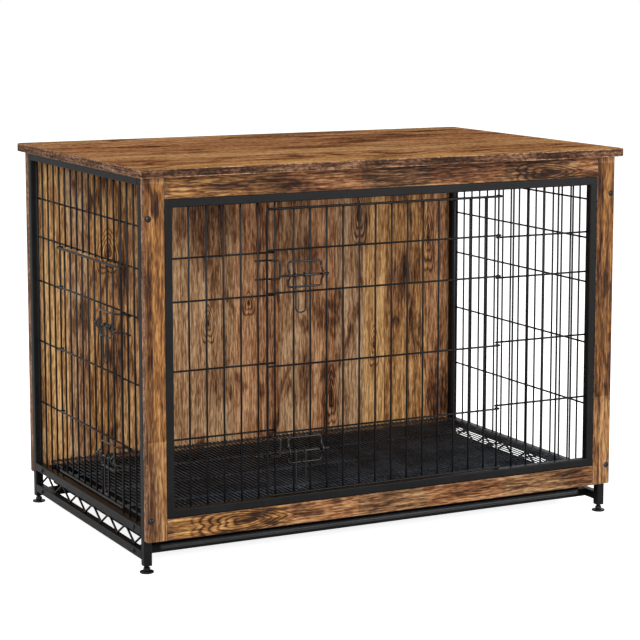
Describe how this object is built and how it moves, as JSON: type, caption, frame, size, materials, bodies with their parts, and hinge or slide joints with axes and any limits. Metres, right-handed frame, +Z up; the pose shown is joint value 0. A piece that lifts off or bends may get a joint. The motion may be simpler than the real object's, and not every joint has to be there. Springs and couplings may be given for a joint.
{
  "type": "wire dog crate",
  "caption": "Furniture-style dog crate: woodgrain top, front frame and rear panel on a black steel frame, wire sides, hinged wire doors with slide latches, and a tray under the wire floor.",
  "frame": {"origin": "on the floor, under the centre of the top board", "axes": "+X to the right of someone facing the front door, along the length; +Y from the front door to the rear panel; +Z up"},
  "size_m": [0.976, 0.636, 0.7],
  "materials": {
    "board": "rustic woodgrain, satin",
    "steel": "black powder coat",
    "wire": "black gloss coat",
    "tray": "moulded, matt",
    "foot": "moulded, satin",
    "fastener": "black zinc"
  },
  "bodies": {
    "crate": {"floor_grid": "wire", "front_grid_left": "wire", "front_grid_right": "wire", "front_keeper_lower": "wire", "front_keeper_upper": "wire", "front_left_bolt_lower": "fastener", "front_left_bolt_upper": "fastener", "front_left_post": "steel", "front_left_screw_lower": "fastener", "front_left_screw_upper": "fastener", "front_lower_crossbar": "steel", "front_rail_bottom": "board", "front_rail_top": "board", "front_right_bolt_lower": "fastener", "front_right_bolt_upper": "fastener", "front_right_post": "steel", "front_right_screw_lower": "fastener", "front_right_screw_upper": "fastener", "front_stile_left": "board", "front_stile_right": "board", "front_upper_crossbar": "steel", "left_base_truss": "steel", "left_grid_front": "wire", "left_grid_rear": "wire", "left_grid_upper": "wire", "rear_left_bolt_lower": "fastener", "rear_left_bolt_upper": "fastener", "rear_left_post": "steel", "rear_left_screw_lower": "fastener", "rear_left_screw_upper": "fastener", "rear_lower_crossbar": "steel", "rear_panel": "board", "rear_right_bolt_lower": "fastener", "rear_right_bolt_upper": "fastener", "rear_right_post": "steel", "rear_right_screw_lower": "fastener", "rear_right_screw_upper": "fastener", "rear_upper_crossbar": "steel", "right_base_truss": "steel", "right_grid": "wire", "side_keeper_lower": "wire", "side_keeper_upper": "wire", "top_board": "board", "window_frame": "steel"},
    "front_latch_bolt_lower": {"front_bolt_lower": "wire"},
    "front_latch_bolt_upper": {"front_bolt_upper": "wire"},
    "front_door": {"front_door": "wire"},
    "front_latch_handle_lower": {"front_handle_lower": "wire"},
    "front_latch_handle_upper": {"front_handle_upper": "wire"},
    "front_left_foot": {"front_left_foot": "foot"},
    "front_right_foot": {"front_right_foot": "foot"},
    "rear_left_foot": {"rear_left_foot": "foot"},
    "rear_right_foot": {"rear_right_foot": "foot"},
    "side_latch_bolt_lower": {"side_bolt_lower": "wire"},
    "side_latch_bolt_upper": {"side_bolt_upper": "wire"},
    "side_door": {"side_door": "wire"},
    "side_latch_handle_lower": {"side_handle_lower": "wire"},
    "side_latch_handle_upper": {"side_handle_upper": "wire"},
    "tray": {"tray": "tray"}
  },
  "joints": [
    {"name": "front_door_hinge", "type": "hinge", "parent": "crate", "child": "front_door", "pos_m": [0.2275, -0.29, 0.367], "axis": [0, 0, 1], "range_deg": [0, 160]},
    {"name": "side_door_hinge", "type": "hinge", "parent": "crate", "child": "side_door", "pos_m": [-0.466, 0.13837, 0.3045], "axis": [0, 0, -1], "range_deg": [0, 160]},
    {"name": "front_latch_slide_upper", "type": "slide", "parent": "front_door", "child": "front_latch_bolt_upper", "axis": [1, 0, 0], "range_m": [-0.008, 0.014]},
    {"name": "front_handle_swing_upper", "type": "hinge", "parent": "front_latch_bolt_upper", "child": "front_latch_handle_upper", "pos_m": [-0.1833, -0.29857, 0.50197], "axis": [-1, 0, 0], "range_deg": [0, 120]},
    {"name": "front_latch_slide_lower", "type": "slide", "parent": "front_door", "child": "front_latch_bolt_lower", "axis": [1, 0, 0], "range_m": [-0.008, 0.014]},
    {"name": "front_handle_swing_lower", "type": "hinge", "parent": "front_latch_bolt_lower", "child": "front_latch_handle_lower", "pos_m": [-0.1833, -0.29857, 0.18901], "axis": [-1, 0, 0], "range_deg": [0, 120]},
    {"name": "side_latch_slide_upper", "type": "slide", "parent": "side_door", "child": "side_latch_bolt_upper", "axis": [0, 1, 0], "range_m": [-0.008, 0.014]},
    {"name": "side_handle_swing_upper", "type": "hinge", "parent": "side_latch_bolt_upper", "child": "side_latch_handle_upper", "pos_m": [-0.47457, -0.12093, 0.407], "axis": [0, 1, 0], "range_deg": [0, 120]},
    {"name": "side_latch_slide_lower", "type": "slide", "parent": "side_door", "child": "side_latch_bolt_lower", "axis": [0, 1, 0], "range_m": [-0.008, 0.014]},
    {"name": "side_handle_swing_lower", "type": "hinge", "parent": "side_latch_bolt_lower", "child": "side_latch_handle_lower", "pos_m": [-0.47457, -0.12093, 0.17001], "axis": [0, 1, 0], "range_deg": [0, 120]},
    {"name": "tray_slide", "type": "slide", "parent": "crate", "child": "tray", "axis": [0, -1, 0], "range_m": [0, 0.48]},
    {"name": "front_left_foot_adjust", "type": "slide", "parent": "crate", "child": "front_left_foot", "axis": [0, 0, -1], "range_m": [0, 0.012]},
    {"name": "front_right_foot_adjust", "type": "slide", "parent": "crate", "child": "front_right_foot", "axis": [0, 0, -1], "range_m": [0, 0.012]},
    {"name": "rear_left_foot_adjust", "type": "slide", "parent": "crate", "child": "rear_left_foot", "axis": [0, 0, -1], "range_m": [0, 0.012]},
    {"name": "rear_right_foot_adjust", "type": "slide", "parent": "crate", "child": "rear_right_foot", "axis": [0, 0, -1], "range_m": [0, 0.012]}
  ]
}
